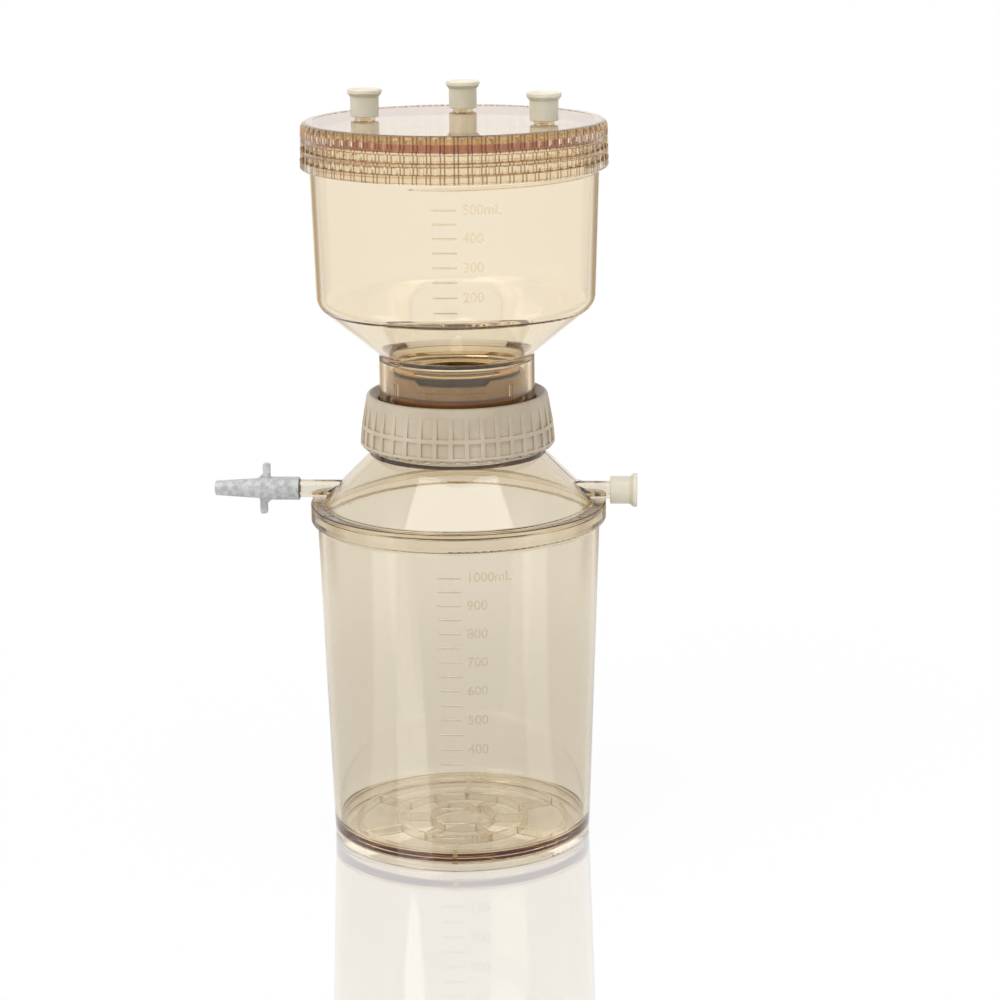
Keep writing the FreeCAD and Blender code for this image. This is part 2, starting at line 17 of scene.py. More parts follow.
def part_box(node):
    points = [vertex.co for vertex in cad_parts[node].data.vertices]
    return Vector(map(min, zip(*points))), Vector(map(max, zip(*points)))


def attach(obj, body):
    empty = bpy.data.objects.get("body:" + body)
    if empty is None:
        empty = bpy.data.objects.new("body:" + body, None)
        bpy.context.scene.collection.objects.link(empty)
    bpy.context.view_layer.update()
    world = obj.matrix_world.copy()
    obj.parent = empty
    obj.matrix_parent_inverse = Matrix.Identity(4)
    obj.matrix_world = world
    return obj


MM = 0.001
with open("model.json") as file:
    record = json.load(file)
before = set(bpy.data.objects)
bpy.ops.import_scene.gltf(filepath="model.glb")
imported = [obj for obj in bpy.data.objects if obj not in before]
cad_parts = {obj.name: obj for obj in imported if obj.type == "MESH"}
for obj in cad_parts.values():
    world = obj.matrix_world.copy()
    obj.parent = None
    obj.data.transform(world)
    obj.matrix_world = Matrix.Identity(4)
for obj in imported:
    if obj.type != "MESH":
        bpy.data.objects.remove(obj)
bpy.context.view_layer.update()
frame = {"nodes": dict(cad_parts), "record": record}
nodes = frame["nodes"]


# %% [markdown]
# ## The camera
# A product picture of this kind is taken with a long lens from a little above the lid. The camera stands
# on a circle round the unit, a few degrees to the right of the graduated front, which is why the capped
# arm comes a little towards us. Its turn is built from plain turns: round the vertical, up from straight
# down, and a small roll about its own line of sight.

# %% Camera
CAMERA_HEADING = 4.3
CAMERA_DISTANCE = 1.113
CAMERA_HEIGHT = 0.412
CAMERA_TILT_DOWN = 13.75
CAMERA_TURN_RIGHT = 0.86
CAMERA_ROLL = -0.52
CAMERA_LENS = 102.17


def turn(degrees, axis):
    return Matrix.Rotation(math.radians(degrees), 4, axis)


camera_data = bpy.data.cameras.new("camera")
camera_data.lens = CAMERA_LENS
camera_data.sensor_width = 36.0
camera = bpy.data.objects.new("camera", camera_data)
bpy.context.scene.collection.objects.link(camera)
camera.matrix_world = (
    turn(CAMERA_HEADING, "Z")
    @ Matrix.Translation((0.0, -CAMERA_DISTANCE, CAMERA_HEIGHT))
    @ turn(-CAMERA_TURN_RIGHT, "Z")
    @ turn(90 - CAMERA_TILT_DOWN, "X")
    @ turn(CAMERA_ROLL, "Z")
)
bpy.context.scene.camera = camera
bpy.context.scene.view_settings.view_transform = "Standard"
print("camera stands at", [round(value, 3) for value in camera.matrix_world.translation])


# %% [markdown]
# ## Enough bounces for clear walls
# Light that enters a thick clear edge is thrown about inside it many times before it leaves. A path that
# is given up early ends in black, and the edge goes sooty instead of brown. So the limits on mirror
# bounces and on bounces through surfaces are raised well above the usual few.

# %% Bounces
cycles = bpy.context.scene.cycles
cycles.max_bounces = 28
cycles.glossy_bounces = 28
cycles.transmission_bounces = 28
cycles.diffuse_bounces = 4
print("bounces", cycles.max_bounces)


# %% [markdown]
# ## Shader sums as Python
# A shader is a tree of nodes, but a sum reads better as a sum. Wire holds one socket and overloads the
# operators, so that `haze * 0.3 + 0.04` adds the two Math nodes by itself. Tree adds every other kind of
# node: its type, its settings, and the values or wires of its sockets.

# %% Wire and Tree
class Wire:
    """One output socket; arithmetic on it adds Math nodes to its tree."""

    def __init__(self, tree, socket):
        self.tree = tree
        self.socket = socket

    def __add__(self, other):
        return self.tree.math("ADD", self, other)

    def __radd__(self, other):
        return self.tree.math("ADD", other, self)

    def __sub__(self, other):
        return self.tree.math("SUBTRACT", self, other)

    def __rsub__(self, other):
        return self.tree.math("SUBTRACT", other, self)

    def __mul__(self, other):
        return self.tree.math("MULTIPLY", self, other)

    def __rmul__(self, other):
        return self.tree.math("MULTIPLY", other, self)

    def at_most(self, limit):
        return self.tree.math("MINIMUM", self, limit)

    def stepped(self, low, high):
        """Nought below low, one above high, and a smooth slope between."""
        return self.tree.add(
            "ShaderNodeMapRange", {"interpolation_type": "SMOOTHSTEP"}, self, low, high, 0.0, 1.0
        )


class Tree:
    """The node tree of a new material or world."""

    def __init__(self, owner, output="ShaderNodeOutputMaterial"):
        owner.use_nodes = True
        self.owner = owner
        self.nodes = owner.node_tree.nodes
        self.links = owner.node_tree.links
        self.nodes.clear()
        self.output = self.nodes.new(output)

    def plug(self, socket, value):
        if isinstance(value, Wire):
            self.links.new(value.socket, socket)
        elif isinstance(value, tuple) and len(value) == 3 and socket.type == "RGBA":
            socket.default_value = (*value, 1.0)
        else:
            socket.default_value = value

    def add(self, kind, settings=None, *values, out=0, **inputs):
        """One node: settings first, then values by place, then values by socket name."""
        node = self.nodes.new(kind)
        for name, value in (settings or {}).items():
            setattr(node, name, value)
        for index, value in enumerate(values):
            self.plug(node.inputs[index], value)
        for name, value in inputs.items():
            self.plug(node.inputs[name.replace("_", " ")], value)
        return Wire(self, node.outputs[out])

    def math(self, operation, *values):
        return self.add("ShaderNodeMath", {"operation": operation}, *values)

    def place(self, stretch=(1.0, 1.0, 1.0)):
        """Object coordinates in metres, stretched along each axis."""
        place = self.add("ShaderNodeTexCoord", out="Object")
        return self.add("ShaderNodeMapping", None, Vector=place, Scale=stretch)

    def axes(self, vector):
        """The x, y and z of a vector."""
        split = self.add("ShaderNodeSeparateXYZ", None, vector).socket.node
        return [Wire(self, split.outputs[axis]) for axis in "XYZ"]

    def distance(self, across, deep):
        """Distance from the upright axis."""
        return self.math("SQRT", across * across + deep * deep)

    def light_path(self, name):
        """One for the named kind of ray, nought for others."""
        return self.add("ShaderNodeLightPath", out=name)

    def noise(self, scale, detail=3.0, roughness=0.5, stretch=(1.0, 1.0, 1.0)):
        return self.add(
            "ShaderNodeTexNoise", None,
            Vector=self.place(stretch), Scale=scale, Detail=detail, Roughness=roughness,
        )

    def mix(self, factor, first, second):
        """Colour between first and second."""
        return self.add("ShaderNodeMixRGB", None, factor, first, second)

    def bump(self, height, strength, distance):
        return self.add("ShaderNodeBump", None, Strength=strength, Distance=distance, Height=height)

    def finish(self, shader, volume=None):
        self.links.new(shader.socket, self.output.inputs["Surface"])
        if volume is not None:
            self.links.new(volume.socket, self.output.inputs["Volume"])
        return self.owner


# %% [markdown]
# ## Clear amber plastic
# Polysulfone is clear but never colourless. A wall of it barely tints the light, while an edge, a rim or
# a cone seen along its length goes brown, because the light has come through much more plastic. That is
# what a volume absorption does: what is left of each colour after a path is exp(-loss x path), so each
# plastic is written as its loss per metre of red, green and blue. Light is caught in a thick edge for a
# very long path, though, and would leave it black. So part of the colour is a tint of the surface, which
# counts once for each face and not for each millimetre. The lid, all ribs and edges, has the most of its
# colour there. The receiver's tint is greyer than the chamber's, which is painted shade standing in for a
# dark room mirrored in its walls.

# %% Amber plastics
CHAMBER_LOSS = (17.5, 35.0, 72.0)
CHAMBER_TINT = (0.974, 0.951, 0.905)
# The throat's deeper tint is painted shade: the neck inside the lock ring reads darker and browner.
THROAT_SHADE_TINT = (0.92, 0.83, 0.69)
THROAT_FADE = (17.0 * MM, 20.0 * MM)
JAR_LOSS = (25.0, 44.0, 82.0)
# Part amber, part painted shade: greyer than the chamber's tint, for the dark room that the walls mirror.
JAR_TINT_AND_SHADE = (0.895, 0.885, 0.855)

chamber_low, chamber_high = (corner[2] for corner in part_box("filter_chamber"))


def clear_amber(name, loss, tint, wave, mask=None, painted_shade_tint=None):
    """Clear shader over an absorbing volume; the volume's colour is one less the share of the loss."""
    density = max(loss) * 1.02
    through = tuple(1.0 - value / density for value in loss)
    tree = Tree(bpy.data.materials.new(name))
    # Where a mask is given, a darker tint is painted in there as shade.
    if mask is not None:
        tint = tree.mix(mask(tree), tint, painted_shade_tint)
    cloud = tree.noise(28.0, 4.0, 0.6)
    ripple = tree.noise(20.0, 1.0, 0.4) + tree.noise(9.0, 2.0, 0.5, (1.0, 1.0, 6.0)) * 0.4
    shader = tree.add(
        "ShaderNodeBsdfPrincipled", None,
        Base_Color=tint, Roughness=cloud * 0.012, IOR=1.55, Transmission_Weight=1.0,
        Normal=tree.bump(ripple, wave, 0.0004),
    )
    volume = tree.add("ShaderNodeVolumeAbsorption", None, Color=through, Density=density)
    return tree.finish(shader, volume)


def throat_shade(tree):
    """One in the chamber's throat, where a deeper tint is painted as shade, nought above it."""
    level = tree.axes(tree.place())[2]
    return 1.0 - level.stepped(chamber_low + THROAT_FADE[0], chamber_low + THROAT_FADE[1])


jar_amber = clear_amber("jar_amber", JAR_LOSS, JAR_TINT_AND_SHADE, 0.15)
chamber_amber = clear_amber("chamber_amber", CHAMBER_LOSS, CHAMBER_TINT, 0.1, throat_shade, THROAT_SHADE_TINT)
print("left after 5 mm of the jar's plastic", [round(math.exp(-loss * 0.005), 2) for loss in JAR_LOSS])


# %% [markdown]
# ## Putty, milky and rubber finishes
# The other pieces are solid to the eye. The lock ring is an opaque putty plastic with a fine grain from
# its mould. The caps are milky, so light goes a little way in and comes out warm. The adapter is a
# mottled grey, as regrind is. Silicone and rubber are plain, with a soft shine. The support plate's O-ring
# is a browner silicone than the lid's gasket.

# %% Other finishes
def solid_plastic(name, deep, pale, mottle, gloss, depth, through=0.0):
    """Two shades by a cloudy noise, a fine mould grain, and light that goes depth metres in."""
    tree = Tree(bpy.data.materials.new(name))
    cloud = tree.noise(mottle, 4.0, 0.6).stepped(0.32, 0.68)
    grain = tree.noise(2200.0, 2.0, 0.6)
    shader = tree.add(
        "ShaderNodeBsdfPrincipled", None,
        Base_Color=tree.mix(cloud, deep, pale), Roughness=grain * 0.14 + gloss, IOR=1.5,
        Transmission_Weight=through, Subsurface_Weight=0.35,
        Subsurface_Radius=(depth, depth * 0.8, depth * 0.6), Subsurface_Scale=1.0,
        Normal=tree.bump(grain, 0.12, 0.0001),
    )
    return tree.finish(shader)


def soft_rubber(name, deep, pale, roughness):
    tree = Tree(bpy.data.materials.new(name))
    grain = tree.noise(900.0, 3.0, 0.6)
    shader = tree.add(
        "ShaderNodeBsdfPrincipled", None,
        Base_Color=tree.mix(grain, deep, pale), Roughness=grain * 0.1 + roughness, IOR=1.42,
        Normal=tree.bump(grain, 0.2, 0.0001),
    )
    return tree.finish(shader)


def membrane_sheet():
    """A matte felt of fine fibres."""
    tree = Tree(bpy.data.materials.new("membrane_sheet"))
    fibre = tree.noise(2400.0, 5.0, 0.7)
    shader = tree.add(
        "ShaderNodeBsdfPrincipled", None,
        Base_Color=tree.mix(fibre, (0.26, 0.25, 0.19), (0.36, 0.35, 0.28)), Roughness=0.75,
        Normal=tree.bump(fibre, 0.3, 0.00005),
    )
    return tree.finish(shader)


# %% [markdown]
# ## The lid's ribs
# The lid's grip is a grid of upright ribs and level steps. Their moulded edges are rounded and show as
# fine brown lines, which here are painted shade. A mask finds them from the turn round the axis, folded to
# half a rib's pitch, and from the height, and mixes the darker tint in there.

# %% Lid finish
LID_LOSS = (3.0, 6.0, 12.0)
LID_TINT = (0.92, 0.84, 0.71)
# Painted shade along the rib edges.
LID_EDGE_SHADE = (0.22, 0.11, 0.04)
LID_RIBS = 72
LID_RIB = 1.6 * MM
LID_R = 60.7 * MM
LID_STEPS = (3.6 * MM, 6.6 * MM, 8.0 * MM, 11.0 * MM)
RIB_EDGE_FADE = (0.0034, 0.0064)
STEP_EDGE_FADE = (0.12 * MM, 0.28 * MM)
RIB_DEPTH = 2.0 * MM

lid_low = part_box("chamber_lid")[0][2]


def rib_edge_shade(tree):
    """One along the upright and level edges of the lid's ribs, where a darker tint is painted as shade."""
    across, deep, level = tree.axes(tree.place())
    folded = tree.math("PINGPONG", tree.math("ARCTAN2", across, deep), math.pi / LID_RIBS)
    lines = 1.0 - tree.math("ABSOLUTE", folded - LID_RIB / LID_R / 2).stepped(*RIB_EDGE_FADE)
    for step in LID_STEPS:
        away = tree.math("ABSOLUTE", level - (lid_low + step))
        lines = tree.math("MAXIMUM", lines, 1.0 - away.stepped(*STEP_EDGE_FADE))
    outside = tree.distance(across, deep).stepped(LID_R - RIB_DEPTH, LID_R - RIB_DEPTH + 0.1 * MM)
    return lines * outside


lid_amber = clear_amber("lid_amber", LID_LOSS, LID_TINT, 0.1, rib_edge_shade, LID_EDGE_SHADE)


# %% [markdown]
# ## Every finish in its slot
# The part's record gives each CAD node a material slot. Each slot gets one finish here, and two nodes get
# their own: the ribbed lid and the browner O-ring.

# %% Finishes on the CAD nodes
plate_tan = solid_plastic("plate_tan", (0.60, 0.45, 0.28), (0.70, 0.54, 0.35), 120.0, 0.2, 0.002, 0.1)
putty = solid_plastic("putty", (0.53, 0.45, 0.33), (0.60, 0.52, 0.40), 60.0, 0.32, 0.002)
cap_milk = solid_plastic("cap_milk", (0.96, 0.87, 0.70), (1.0, 0.94, 0.79), 90.0, 0.25, 0.001, 0.3)
grey = solid_plastic("adapter_grey", (0.41, 0.42, 0.42), (0.62, 0.63, 0.63), 420.0, 0.3, 0.003)
finishes = {
    "jar_plastic": jar_amber,
    "chamber_plastic": chamber_amber,
    "plate_plastic": plate_tan,
    "putty_plastic": putty,
    "cap_plastic": cap_milk,
    "adapter_plastic": grey,
    "red_silicone": soft_rubber("red_silicone", (0.72, 0.25, 0.11), (0.84, 0.34, 0.17), 0.4),
    "dark_rubber": soft_rubber("dark_rubber", (0.03, 0.032, 0.024), (0.05, 0.052, 0.04), 0.4),
    "membrane": membrane_sheet(),
}
special = {
    "chamber_lid": lid_amber,
    "plate_o_ring": soft_rubber("brown_silicone", (0.50, 0.26, 0.12), (0.60, 0.33, 0.17), 0.4),
}
for part in frame["record"]["subparts"]:
    mesh = nodes[part["node"]].data
    mesh.materials.clear()
    mesh.materials.append(special.get(part["node"], finishes[part["material_slot"]]))
print("finishes on", len(nodes), "CAD nodes")


# %% [markdown]
# ## Shapes on a wall of revolution
# Marks, numbers and threads all sit on a round wall. Each is worked out flat, as an angle from the front,
# a height, and a distance out from the wall, and one function carries it to its place. The wall's radius
# isn't typed in: it is measured by cutting the CAD piece level and taking the furthest point.

# %% Measure a wall
def outer_radius(node, level):
    """Largest distance from the axis of the points where the node's triangles cross a level, in metres."""
    mesh = nodes[node].data
    mesh.calc_loop_triangles()
    points = np.empty(len(mesh.vertices) * 3)
    mesh.vertices.foreach_get("co", points)
    corners = np.empty(len(mesh.loop_triangles) * 3, dtype=np.int32)
    mesh.loop_triangles.foreach_get("vertices", corners)
    points = points.reshape(-1, 3)
    corners = corners.reshape(-1, 3)
    starts = points[corners.ravel()]
    ends = points[np.roll(corners, -1, axis=1).ravel()]
    crosses = (starts[:, 2] - level) * (ends[:, 2] - level) < 0
    starts = starts[crosses]
    ends = ends[crosses]
    share = ((level - starts[:, 2]) / (ends[:, 2] - starts[:, 2]))[:, None]
    cut = starts + (ends - starts) * share
    return float(np.hypot(cut[:, 0], cut[:, 1]).max())


def straight_wall(node, low, high):
    """The wall's radius at any height, as the line through its radii at two heights."""
    low_r = outer_radius(node, low)
    slope = (outer_radius(node, high) - low_r) / (high - low)
    return lambda z: low_r + slope * (z - low)


jar_wall = straight_wall("receiver_jar", 20 * MM, 120 * MM)
chamber_wall = straight_wall("filter_chamber", chamber_high - 55 * MM, chamber_high - 5 * MM)
print("jar wall", jar_wall(0.02), "to", jar_wall(0.12), "chamber rim", chamber_wall(chamber_high))


# %% Carry to the wall, and make a piece of grids
def on_wall(wall, angle, level, out):
    """Point at an angle from the front towards +X, at a height, and out metres proud of the wall."""
    radius = wall(level) + out
    return np.stack([radius * np.sin(angle), -radius * np.cos(angle), level + 0 * radius], axis=-1)


def closed_piece(name, points, faces, finish, smooth):
    """A piece from points and faces, with double points joined and all faces turned outwards."""
    mesh = bpy.data.meshes.new(name)
    mesh.from_pydata(points.tolist(), [], faces)
    work = bmesh.new()
    work.from_mesh(mesh)
    bmesh.ops.remove_doubles(work, verts=work.verts, dist=1e-6)
    bmesh.ops.recalc_face_normals(work, faces=work.faces)
    for face in work.faces:
        face.smooth = smooth
    work.to_mesh(mesh)
    work.free()
    mesh.materials.append(finish)
    piece = bpy.data.objects.new(name, mesh)
    bpy.context.scene.collection.objects.link(piece)
    print(name, len(mesh.polygons), "faces")
    return piece


def grids_piece(name, grids, finish):
    """One piece of point grids: columns close on themselves, and end rows shrink to one point."""
    points = np.concatenate([grid.reshape(-1, 3) for grid in grids])
    faces = []
    first = 0
    for grid in grids:
        rows, columns = grid.shape[:2]
        index = first + np.arange(rows * columns).reshape(rows, columns)
        ahead = np.roll(index, -1, axis=1)
        quads = np.stack([index[:-1], ahead[:-1], ahead[1:], index[1:]], axis=-1)
        faces.append(quads.reshape(-1, 4))
        first += rows * columns
    return closed_piece(name, points, np.concatenate(faces).tolist(), finish, True)


# %% [markdown]
# ## Ridges
# A tick mark and a thread are the same thing: a low half-round ridge carried along a line on the wall. A
# tick's line is level and short; a thread's line climbs as it goes round. Both fade to nothing at their
# ends, as the cutter that made the mould runs out. A ridge that an opaque piece hides has its root sunk
# into the wall. One that is seen stands on a film of air instead, thinner than a hair: two clear
# surfaces that cross or lie at one place trap the light between them and leave dark scribbles.

# %% The ridge
FILM = 0.04 * MM
SUNK_ROOT = 0.15 * MM
SIDES = 12
EVEN_STEPS = 60


def ridge(wall, start, end, low, high, width, height, fade, steps, root, film):
    """Half-round section, width wide and height proud, along a line from (start, low) to (end, high).

    Section: side = width/2 cos(a), out = height sin(a) above the wall and root sin(a) inside it. Along
    the line both are multiplied by the quarter circle that rises from 0 to 1 over the fade at each end.
    A short line has its steps closer together at its ends, where that circle is steep.
    """
    along = np.linspace(0.0, 1.0, steps)
    if steps < EVEN_STEPS:
        along = 0.5 - 0.5 * np.cos(np.pi * along)
    near_end = np.clip(np.minimum(along, 1.0 - along) / fade, 0.0, 1.0)
    swell = np.sqrt(1.0 - (1.0 - near_end) ** 2)[:, None]
    around = np.linspace(0.0, 2 * np.pi, SIDES, endpoint=False)[None, :]
    angle = np.radians(start + (end - start) * along)[:, None]
    level = (low + (high - low) * along)[:, None] + swell * width / 2 * np.cos(around)
    lift = np.where(np.sin(around) > 0, height, np.sign(height) * root) * np.sin(around)
    return on_wall(wall, angle + 0 * around, level, swell * lift + film)


# %% [markdown]
# ## Volume marks
# Both vessels widen upwards, so equal volumes stand closer together towards the top: the gap between two
# marks grows steadily on the way down. The real mark is as clear as the wall and only shows because it is
# a little thicker and bends the light. Here its plastic has the wall's loss with a deeper tint at the
# surface, painted shade for the dark line that the bent light draws, which keeps so thin a ridge visible.

# %% Tick marks
TICK_START = -4.8
TICK_END = 4.9
TICK_WIDTH = 0.75 * MM
TICK_HEIGHT = 0.4 * MM
TICK_FADE = 0.06
TICK_STEPS = 17


def mark_levels(top, gap, growth, count):
    """Heights from the top mark down: the n-th lies gap x n plus growth x n squared below it."""
    step = np.arange(count)
    return top - gap * step - growth * step ** 2


def ticks(name, wall, levels, finish):
    size = (TICK_WIDTH, TICK_HEIGHT, TICK_FADE, TICK_STEPS)
    grids = [ridge(wall, TICK_START, TICK_END, level, level, *size, 0.0, FILM) for level in levels]
    return grids_piece(name, grids, finish)


jar_levels = mark_levels(122.5 * MM, 5.597 * MM, 0.023 * MM, 19)
chamber_levels = mark_levels(chamber_high - 21.5 * MM, 5.3 * MM, 0.046 * MM, 8)
# The marks' deeper tint is painted shade.
jar_mark_painted_shade = clear_amber("jar_mark_painted_shade", JAR_LOSS, (0.86, 0.80, 0.69), 0.0)
chamber_mark_painted_shade = clear_amber("chamber_mark_painted_shade", CHAMBER_LOSS, (0.94, 0.89, 0.79), 0.0)
jar_ticks = ticks("jar_ticks", jar_wall, jar_levels, jar_mark_painted_shade)
chamber_ticks = ticks("chamber_ticks", chamber_wall, chamber_levels, chamber_mark_painted_shade)
for piece, body, slot in (
    (jar_ticks, "receiver", "jar_plastic"),
    (chamber_ticks, "chamber", "chamber_plastic"),
):
    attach(piece, body)


# %% [markdown]
# ## Numbers
# Raised numbers stand beside every second mark. Blender's own text object draws each one flat, with a
# small thickness and a rounded edge. It is made a mesh, and then every vertex goes to the wall: its x
# becomes an angle, its y a height, and its z the distance out.

# %% Numbers on the wall
NUMBER_ANGLE = 6.9
NUMBER_SIZE = 5.5 * MM
NUMBER_HALF_THICK = 0.06 * MM
NUMBER_EDGE = 0.06 * MM


def flat_number(text):
    """Vertices and faces of one number, its left end at x = 0 and its middle at y = 0."""
    curve = bpy.data.curves.new("number", "FONT")
    curve.body = text
    curve.size = NUMBER_SIZE
    curve.align_y = "CENTER"
    curve.extrude = NUMBER_HALF_THICK
    curve.bevel_depth = NUMBER_EDGE
    curve.bevel_resolution = 1
    curve.resolution_u = 3
    holder = bpy.data.objects.new("number", curve)
    bpy.context.scene.collection.objects.link(holder)
    flat = holder.evaluated_get(bpy.context.evaluated_depsgraph_get())
    mesh = bpy.data.meshes.new_from_object(flat)
    points = np.empty(len(mesh.vertices) * 3)
    mesh.vertices.foreach_get("co", points)
    faces = [tuple(face.vertices) for face in mesh.polygons]
    bpy.data.objects.remove(holder)
    return points.reshape(-1, 3), faces


def numbers(name, wall, labels, finish):
    """All numbers of one vessel in one mesh; labels are (text, level) pairs."""
    points = []
    faces = []
    count = 0
    for text, level in labels:
        flat, flat_faces = flat_number(text)
        out = flat[:, 2] - flat[:, 2].min() + FILM
        angle = math.radians(NUMBER_ANGLE) + flat[:, 0] / wall(level)
        points.append(on_wall(wall, angle, level + flat[:, 1], out))
        faces += [tuple(count + corner for corner in face) for face in flat_faces]
        count += len(flat)
    print(name, len(labels), "labels")
    return closed_piece(name, np.concatenate(points), faces, finish, False)


def labels_at(top, count, levels):
    """The top number with its unit, and each hundred below it, at every second mark."""
    labels = [("%d" % (top - 100 * step), levels[2 * step]) for step in range(count)]
    labels[0] = ("%dmL" % top, levels[0])
    return labels


jar_labels = labels_at(1000, 10, jar_levels)
chamber_labels = labels_at(500, 4, chamber_levels)
jar_numbers = numbers("jar_numbers", jar_wall, jar_labels, jar_mark_painted_shade)
chamber_numbers = numbers("chamber_numbers", chamber_wall, chamber_labels, chamber_mark_painted_shade)
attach(jar_numbers, "receiver")
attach(chamber_numbers, "chamber")


# %% [markdown]
# ## Threads
# The chamber's rim and the receiver's neck carry a screw thread with a 5 mm lead. On the real unit it is
# a low rounded ridge that climbs a little over two turns, and it shows through the clear lid as slanting
# lines. The lid and the lock ring have the matching ridge on the inside, half a lead higher, so that the
# two ridges lie beside each other and stay so as the piece is unscrewed.

# %% Thread ridges
LEAD = 5.0 * MM
THREAD_FADE = 0.03
STEPS_A_TURN = 120
SEEN_WIDTH = 1.5 * MM
HIDDEN_WIDTH = 1.7 * MM


def thread(name, wall, start, low, turns, width, height, finish, body, root, film):
    """Ridge that climbs one lead for each full turn."""
    end = start + 360 * turns
    steps = int(STEPS_A_TURN * turns)
    grid = ridge(wall, start, end, low, low + LEAD * turns, width, height, THREAD_FADE, steps, root, film)
    piece = grids_piece(name, [grid], finish)
    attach(piece, body)
    return piece


def inner_bore(radius):
    """A straight bore."""
    return lambda z: radius + 0 * z


ring_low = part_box("lock_ring")[0][2]
neck_r = outer_radius("receiver_shoulder", chamber_low - 6 * MM)
ring_bore = neck_r + 1.6 * MM
lid_bore = chamber_wall(chamber_high) + 0.7 * MM
# The seen threads take the marks' finish, whose deeper tint is painted shade.
thread(
    "rim_thread", chamber_wall, -14.0, chamber_high - 13.9 * MM, 2.2, SEEN_WIDTH, 0.5 * MM,
    chamber_mark_painted_shade, "chamber", 0.0, FILM,
)
thread(
    "lid_thread", inner_bore(lid_bore), 60.0, lid_low + 2.6 * MM, 1.6, SEEN_WIDTH, -0.45 * MM,
    chamber_mark_painted_shade, "lid", 0.0, -FILM,
)
thread(
    "neck_thread", inner_bore(neck_r), -40.0, ring_low + 2.5 * MM, 2.2, HIDDEN_WIDTH, 1.0 * MM,
    jar_amber, "receiver", SUNK_ROOT, 0.0,
)
thread(
    "ring_thread", inner_bore(ring_bore), 30.0, ring_low + 2.8 * MM, 1.8, HIDDEN_WIDTH, -1.0 * MM,
    putty, "ring", SUNK_ROOT, 0.0,
)


# %% [markdown]
# ## Bench and sky
# A clear object takes its looks from what stands round it, so the bench and the sky are drawn for what
# the walls see of them. Round the unit the bench is polished, so it mirrors the foot faintly; further out
# it fades to plain white, like a paper sweep. Through the walls and in reflections there is more:
# - two strips of it, to the left and the right of the camera, glow, and are the pale upright bands on the
#   receiver;
# - round the foot it has a painted shadow, a little darker, which warms the low part of the receiver;
# - two brown flags stand behind the unit, left and right of the white backdrop. Only the steep edges of
#   the walls bend light that far, so they get a thin dark line where the white would swallow them.
# The camera itself sees none of these, so the bench stays white in every view. Bearings are in radians
# from the line that the camera looks along, and each pair of numbers is where a soft edge starts and ends.

# %% Flags, and which rays see them
WHITE = (1.0, 1.0, 1.0)
BLACK = (0.0, 0.0, 0.0)
FLAG_COLOUR = (0.52, 0.42, 0.30)
FLAG_NEAR = (0.24, 0.32)
FLAG_FAR = (0.50, 0.66)


def seen_rays(tree):
    """One for rays from the camera, from a mirror or through clear plastic, nought for scattered light."""
    names = ("Is Camera Ray", "Is Glossy Ray", "Is Transmission Ray")
    camera_ray, glossy_ray, through_ray = (tree.light_path(name) for name in names)
    return (camera_ray + glossy_ray + through_ray).at_most(1.0)


def bearing(tree, across, deep, heading):
    """Angle in radians, to either side, from the line that the camera looks along."""
    return tree.math("ABSOLUTE", tree.math("ARCTAN2", across, deep) + math.radians(heading))


def flags(tree, across, deep):
    """One where a flag stands: behind the unit, to the left and the right of the white backdrop."""
    away = bearing(tree, across, deep, CAMERA_HEADING)
    hidden = 1.0 - tree.light_path("Is Camera Ray")
    return away.stepped(*FLAG_NEAR) * (1.0 - away.stepped(*FLAG_FAR)) * hidden


print("flags from", FLAG_NEAR, "to", FLAG_FAR)


# %% [markdown]
# ## The bench
# Scattered light meets a plain matte white. What is seen is an emission instead, an even white of exactly
# one, so that the bench has no horizon. A mirror is mixed in near the foot.

# %% Bench
TWICE_WHITE = (2.0, 2.0, 2.0)
BENCH_WHITE = (0.93, 0.93, 0.93)
BENCH_HALF = 3.0
FLAG_FOOT = (0.3, 0.6)
STRIP_GLOW = 0.9
STRIP_NEAR = (0.84, 0.92)
STRIP_FAR = (1.22, 1.30)
STRIP_END = (0.5, 0.8)
SHADE = 0.24
SHADE_START = (0.05, 0.09)
SHADE_END = (0.12, 0.42)
POLISH = 0.48
POLISH_ROUGHNESS = 0.03
POLISH_END = (0.1, 0.5)
PAPER_NEAR = 0.9


def bench_finish():
    """White matte bench; a polished disc round the unit; and what clear walls see of it, drawn apart."""
    tree = Tree(bpy.data.materials.new("bench"))
    across, deep = tree.axes(tree.place())[:2]
    out = tree.distance(across, deep)
    towards = bearing(tree, across, deep * -1.0, -CAMERA_HEADING)
    strip = towards.stepped(*STRIP_NEAR) * (1.0 - towards.stepped(*STRIP_FAR))
    strip = strip * (1.0 - out.stepped(*STRIP_END))
    # Painted shadow round the foot, seen only through the walls and in reflections.
    shade = out.stepped(*SHADE_START) * (1.0 - out.stepped(*SHADE_END)) * SHADE
    glow = 1.0 + (strip * STRIP_GLOW - shade) * (1.0 - tree.light_path("Is Camera Ray"))
    flag = flags(tree, across, deep) * out.stepped(*FLAG_FOOT)
    colour = tree.mix(flag, tree.mix(glow * 0.5, BLACK, TWICE_WHITE), FLAG_COLOUR)
    matte = tree.add("ShaderNodeBsdfDiffuse", None, Color=BENCH_WHITE)
    paper = tree.add("ShaderNodeEmission", None, Color=colour, Strength=1.0)
    mirror = tree.add("ShaderNodeBsdfGlossy", None, Color=WHITE, Roughness=POLISH_ROUGHNESS)
    away = out.stepped(*POLISH_END)
    paper_share = seen_rays(tree) * (away * (1.0 - PAPER_NEAR) + PAPER_NEAR)
    lit = tree.add("ShaderNodeMixShader", None, paper_share, matte, paper)
    polish = (1.0 - away) * seen_rays(tree) * POLISH
    return tree.finish(tree.add("ShaderNodeMixShader", None, polish, lit, mirror))


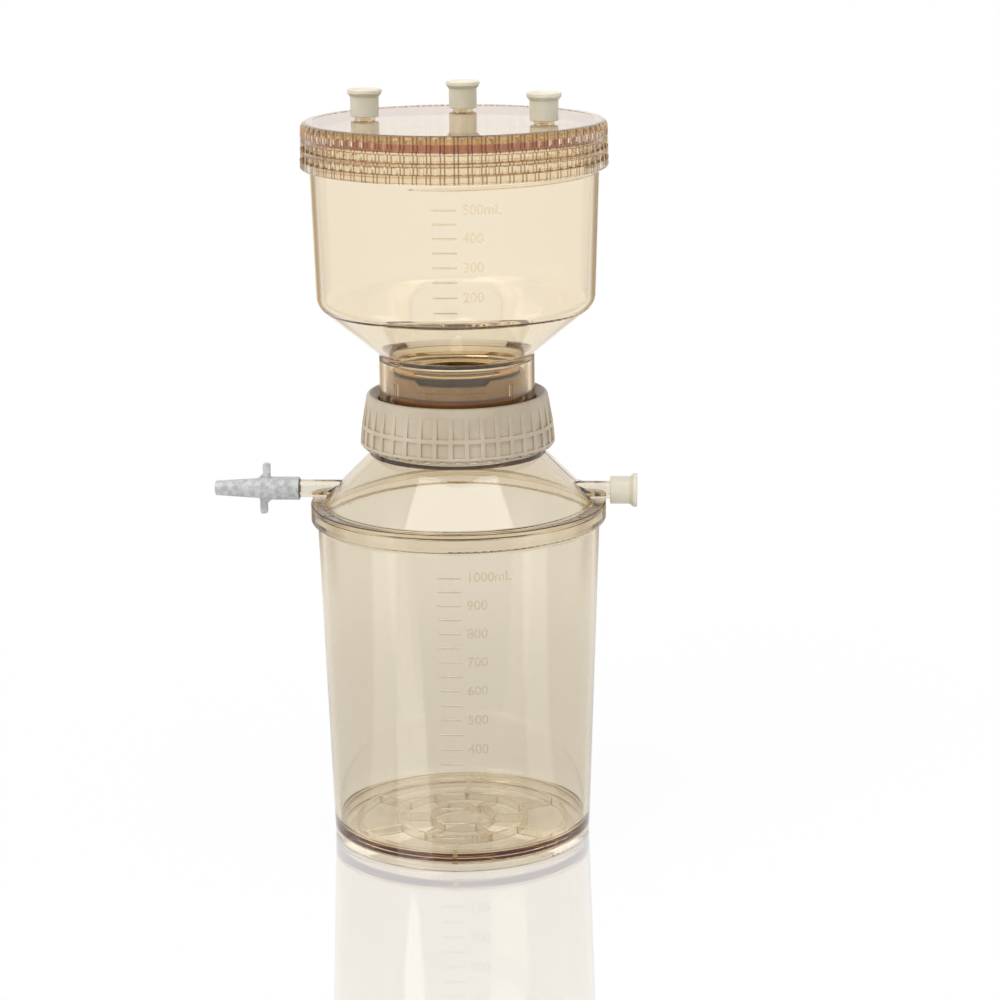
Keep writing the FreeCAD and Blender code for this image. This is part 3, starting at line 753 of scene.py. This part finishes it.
bench_mesh = bpy.data.meshes.new("bench")
corners = np.array([(-1, -1, 0), (1, -1, 0), (1, 1, 0), (-1, 1, 0)]) * BENCH_HALF
bench_mesh.from_pydata(corners.tolist(), [], [(0, 1, 2, 3)])
bench = bpy.data.objects.new("bench", bench_mesh)
bpy.context.scene.collection.objects.link(bench)
bench_mesh.materials.append(bench_finish())
print("bench", 2 * BENCH_HALF, "m wide")


# %% [markdown]
# ## The sky
# It is an even white too. The solid pieces get a dimmer one than the eye does, so that their shapes keep
# a dark side. The flags go on below the horizon, past the bench's end, and stop there: above it the
# polished bench would mirror them.

# %% Sky
HORIZON = (-0.02, 0.02)
SKY_SEEN = 1.0
SKY_SCATTERED = 0.66


def sky_finish():
    """Even white, dimmer where it only scatters off the solid pieces, with the flags' lower part in it."""
    tree = Tree(bpy.data.worlds.new("studio"), "ShaderNodeOutputWorld")
    across, deep, level = tree.axes(tree.add("ShaderNodeTexCoord", out="Generated"))
    flag = flags(tree, across, deep) * (1.0 - level.stepped(*HORIZON))
    colour = tree.mix(flag, WHITE, FLAG_COLOUR)
    dim = tree.add("ShaderNodeBackground", None, Color=WHITE, Strength=SKY_SCATTERED)
    seen = tree.add("ShaderNodeBackground", None, Color=colour, Strength=SKY_SEEN)
    return tree.finish(tree.add("ShaderNodeMixShader", None, seen_rays(tree), dim, seen))


bpy.context.scene.world = sky_finish()
print("sky", SKY_SEEN, "seen and", SKY_SCATTERED, "scattered")


# %% [markdown]
# ## Lamps
# One broad softbox hangs over the unit, a little towards the front: it is the pale patch on the shoulder.
# A wide soft sun from the front left gives the solid pieces a light side and a dark side. Both are placed
# as the camera faces the unit.

# %% Lamps
TOP_PLACE = (0.0, -0.3, 1.4)
TOP_AIM = (0.0, 0.0, 0.15)
TOP_WIDTH = 1.4
TOP_DEPTH = 0.7
TOP_RADIANCE = 2.1
SUN_PLACE = (-0.9, -0.9, 1.0)
SUN_STRENGTH = 0.9
SUN_WIDTH = 40


def hang(name, light, place, aim):
    """A lamp at a place that is given as the camera faces the unit, pointed at aim."""
    lamp = bpy.data.objects.new(name, light)
    bpy.context.scene.collection.objects.link(lamp)
    place = turn(CAMERA_HEADING, "Z") @ Vector(place)
    aimed = (Vector(aim) - place).to_track_quat("-Z", "Y").to_matrix().to_4x4()
    lamp.matrix_world = Matrix.Translation(place) @ aimed


top_light = bpy.data.lights.new("top_box", "AREA")
top_light.shape = "RECTANGLE"
top_light.size = TOP_WIDTH
top_light.size_y = TOP_DEPTH
top_light.energy = TOP_RADIANCE * math.pi * TOP_WIDTH * TOP_DEPTH
hang("top_box", top_light, TOP_PLACE, TOP_AIM)

sun_light = bpy.data.lights.new("wide_sun", "SUN")
sun_light.energy = SUN_STRENGTH
sun_light.angle = math.radians(SUN_WIDTH)
hang("wide_sun", sun_light, SUN_PLACE, (0.0, 0.0, 0.0))
print("lamps", len(bpy.data.lights))
